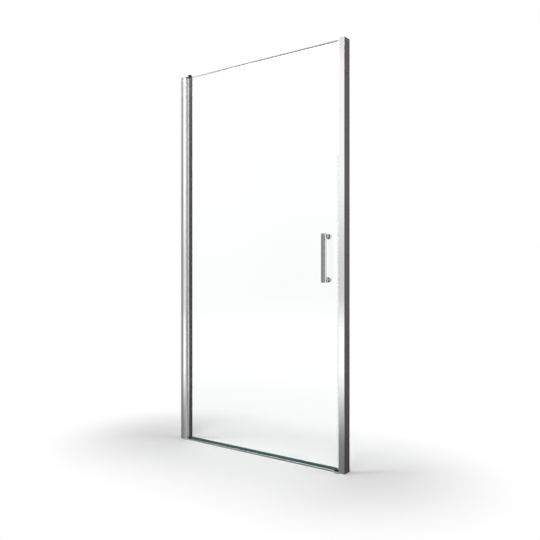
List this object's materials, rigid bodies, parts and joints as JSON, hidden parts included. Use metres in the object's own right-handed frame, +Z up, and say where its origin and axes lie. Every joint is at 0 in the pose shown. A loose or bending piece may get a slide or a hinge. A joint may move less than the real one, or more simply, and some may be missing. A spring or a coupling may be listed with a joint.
{
  "type": "pivoting shower door",
  "caption": "Clear glass pivot door for a shower alcove, with polished wall channels, a low sill and a bar handle.",
  "frame": {"origin": "middle of the sill's underside, in the plane of the closed glass", "axes": "+X from the hinge wall to the strike wall, +Y into the shower, +Z up; the handle faces -Y"},
  "size_m": [0.962, 0.0626, 1.868],
  "materials": {
    "polished_profile": "bright polished anodised extrusion",
    "satin_profile": "satin anodised extrusion",
    "stile_profile": "dark grey polished extrusion",
    "chrome": "polished chrome plate",
    "satin_handle": "chrome with a fine satin grain",
    "clear_glass": "clear toughened glass with green edges",
    "clear_seal": "clear soft PVC",
    "cove_seal": "pale green soft PVC",
    "gasket": "clear soft gasket, slightly milky",
    "plated_plastic": "moulding with a bright plated face",
    "black_plastic": "black moulded nylon",
    "end_block_plastic": "glossy moulded end block",
    "stainless_steel": "stainless pins and screws",
    "magnet": "flexible magnet strip"
  },
  "bodies": {
    "frame": {"hinge_wall_channel": "satin_profile", "strike_wall_channel": "polished_profile", "hinge_jamb": "polished_profile", "strike_jamb": "polished_profile", "sill": "polished_profile", "hinge_channel_cap": "plated_plastic", "strike_channel_cap": "plated_plastic", "hinge_cove_seal": "cove_seal", "strike_magnet_seal": "clear_seal", "strike_magnet_strip": "magnet", "strike_end_block": "end_block_plastic", "bottom_pivot_foot": "chrome", "bottom_pivot_pin": "stainless_steel", "top_pivot_pin": "stainless_steel", "bottom_thrust_washer": "black_plastic", "top_pivot_bracket": "chrome", "top_pivot_cap": "black_plastic", "top_pivot_screws": "stainless_steel", "hinge_jamb_screws": "stainless_steel", "strike_jamb_screws": "stainless_steel", "hinge_screw_covers": "chrome", "strike_screw_covers": "chrome"},
    "door": {"hinge_stile": "stile_profile", "glazing_gasket": "gasket", "stile_top_bush": "black_plastic", "stile_bottom_bush": "black_plastic", "glass_panel": "clear_glass", "door_magnet_seal": "clear_seal", "door_magnet_strip": "magnet", "bottom_drip_seal": "clear_seal", "handle_bar": "satin_handle", "upper_handle_post": "chrome", "lower_handle_post": "chrome", "upper_handle_cup": "chrome", "lower_handle_cup": "chrome", "handle_cup_covers": "chrome", "handle_front_washers": "black_plastic", "handle_back_washers": "black_plastic", "handle_hole_sleeves": "clear_seal", "handle_bolts": "stainless_steel"}
  },
  "joints": [
    {"name": "door_pivot", "type": "hinge", "parent": "frame", "child": "door", "pos_m": [-0.4385, 0, 0.925], "axis": [0, 0, -1], "range_deg": [0, 90]}
  ]
}
